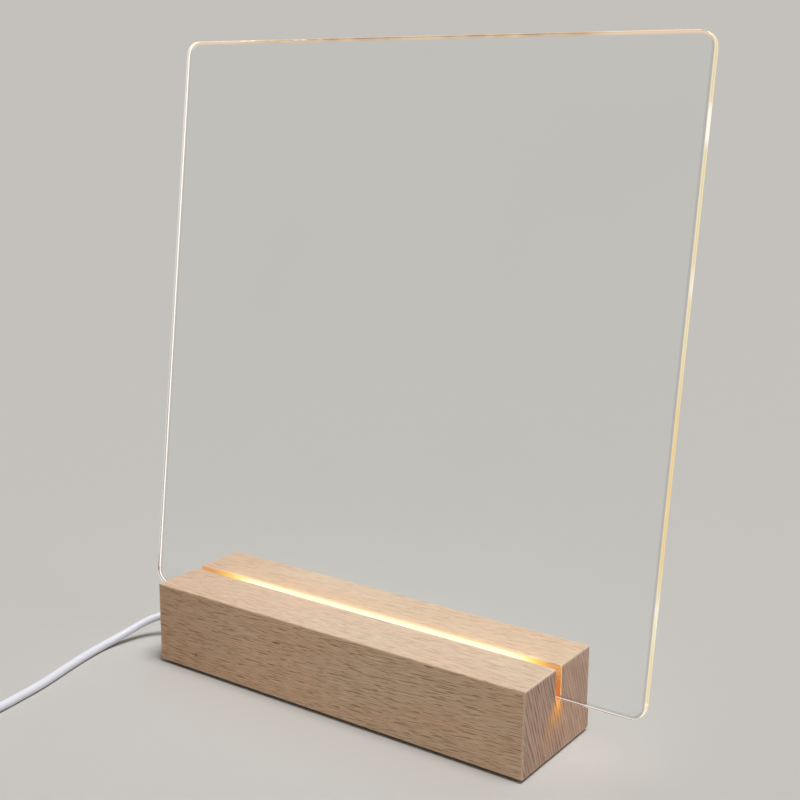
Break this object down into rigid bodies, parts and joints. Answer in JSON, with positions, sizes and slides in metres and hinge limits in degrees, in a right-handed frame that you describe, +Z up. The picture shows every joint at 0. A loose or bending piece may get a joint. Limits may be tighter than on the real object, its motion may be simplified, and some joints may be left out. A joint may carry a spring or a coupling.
{
  "type": "led writing board",
  "caption": "Clear acrylic writing sheet leaning in a slotted beech block, edge-lit by a row of LEDs, with a USB lead and in-line rocker switch.",
  "frame": {"origin": "centre of the non-slip pad's underside, on the surface that the block stands on", "axes": "+X along the block towards the end away from the lead, +Y to the back, the way the sheet leans, +Z up"},
  "size_m": [0.2603, 0.1812, 0.2187],
  "materials": {
    "beech": "fine sanded and oiled, edges eased by hand",
    "clear_acrylic": "clear cast sheet, edges polished",
    "white_board": "white, satin",
    "led_body": "white housing with yellow phosphor",
    "resistor_black": "glazed black",
    "steel": "bright zinc or nickel plate",
    "red_wire": "extruded PVC",
    "black_wire": "extruded PVC",
    "white_nylon": "moulded nylon",
    "white_lead": "white PVC, matte",
    "white_cover": "white sheet, satin",
    "black_pad": "closed-cell foam rubber",
    "brass": "stamped sheet",
    "gold_strip": "gold plated",
    "white_tie": "white plastic band over a wire"
  },
  "bodies": {
    "base": {"base_block": "beech", "led_board": "white_board", "led_01": "led_body", "led_02": "led_body", "led_03": "led_body", "led_04": "led_body", "led_05": "led_body", "led_06": "led_body", "led_07": "led_body", "led_08": "led_body", "led_09": "led_body", "led_10": "led_body", "led_11": "led_body", "led_12": "led_body", "resistor_1": "resistor_black", "resistor_2": "resistor_black", "board_screw_1": "steel", "board_screw_2": "steel", "positive_wire": "red_wire", "negative_wire": "black_wire", "inner_cable_tie": "white_nylon", "cable_bush": "white_lead", "bottom_cover": "white_cover", "cover_screw_1": "steel", "cover_screw_2": "steel", "cover_screw_3": "steel", "cover_screw_4": "steel", "non_slip_pad": "black_pad", "usb_lead_run": "white_lead", "usb_lead_link": "white_lead", "usb_lead_coil": "white_lead", "usb_lead_tail": "white_lead", "coil_twist_tie": "white_tie", "switch_lower_shell": "white_lead", "switch_upper_shell": "white_lead", "contact_in": "brass", "contact_out": "brass", "switch_screw_1": "steel", "switch_screw_2": "steel", "switch_wire_in": "red_wire", "switch_wire_out": "red_wire", "switch_wire_through": "black_wire", "plug_body": "white_lead", "plug_shell": "steel", "plug_tongue": "white_board", "plug_contact_1": "gold_strip", "plug_contact_2": "gold_strip", "plug_contact_3": "gold_strip", "plug_contact_4": "gold_strip"},
    "sheet": {"acrylic_sheet": "clear_acrylic"},
    "rocker": {"switch_rocker": "white_lead", "contact_bar": "brass"}
  },
  "joints": [
    {"name": "sheet_lift", "type": "slide", "parent": "base", "child": "sheet", "axis": [0, 0.1223, 0.9925], "range_m": [0, 0.03]},
    {"name": "rocker_tilt", "type": "hinge", "parent": "base", "child": "rocker", "pos_m": [-0.0883, -0.1195, 0.008], "axis": [1, 0, 0], "range_deg": [-18, 0]}
  ]
}
